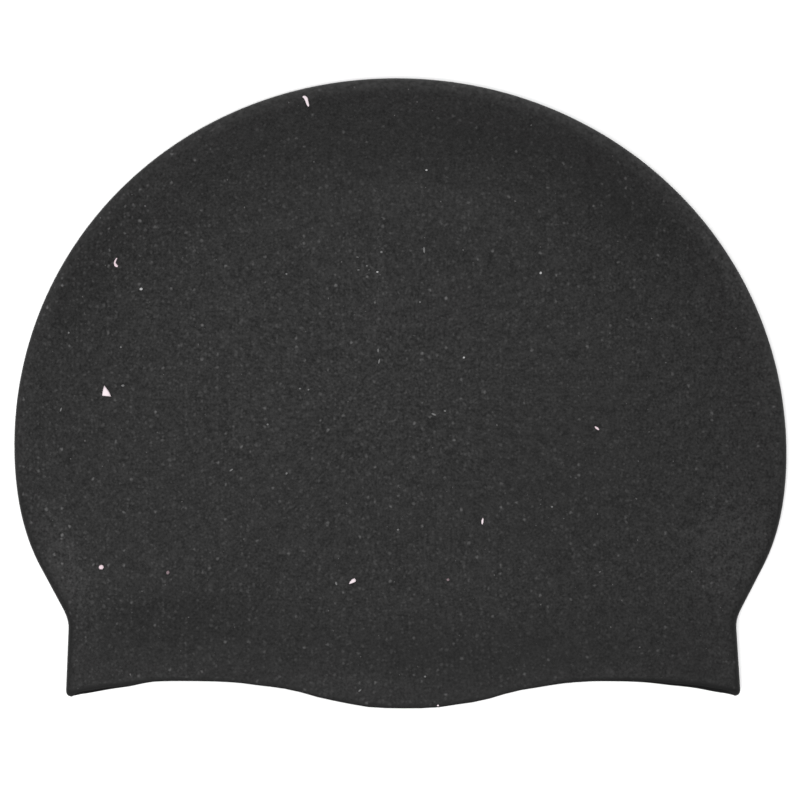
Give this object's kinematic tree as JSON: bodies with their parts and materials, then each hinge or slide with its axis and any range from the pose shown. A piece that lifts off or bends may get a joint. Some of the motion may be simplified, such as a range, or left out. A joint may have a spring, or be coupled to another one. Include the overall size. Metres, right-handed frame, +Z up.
{
  "type": "swim cap",
  "caption": "Moulded silicone swim cap lying flat: a thin-walled dome with a flared headband and a wavy open mouth for the head.",
  "frame": {"origin": "middle of the cap's footprint, on the table that it lies on", "axes": "+X across the cap, +Y from the mouth to the top of the dome, +Z up from the table through both walls"},
  "size_m": [0.23, 0.1876, 0.0151],
  "materials": {
    "silicone": "matte black moulded silicone with fine dust and a few specks of lint"
  },
  "bodies": {
    "root": {"cap_shell": "silicone"}
  },
  "joints": []
}
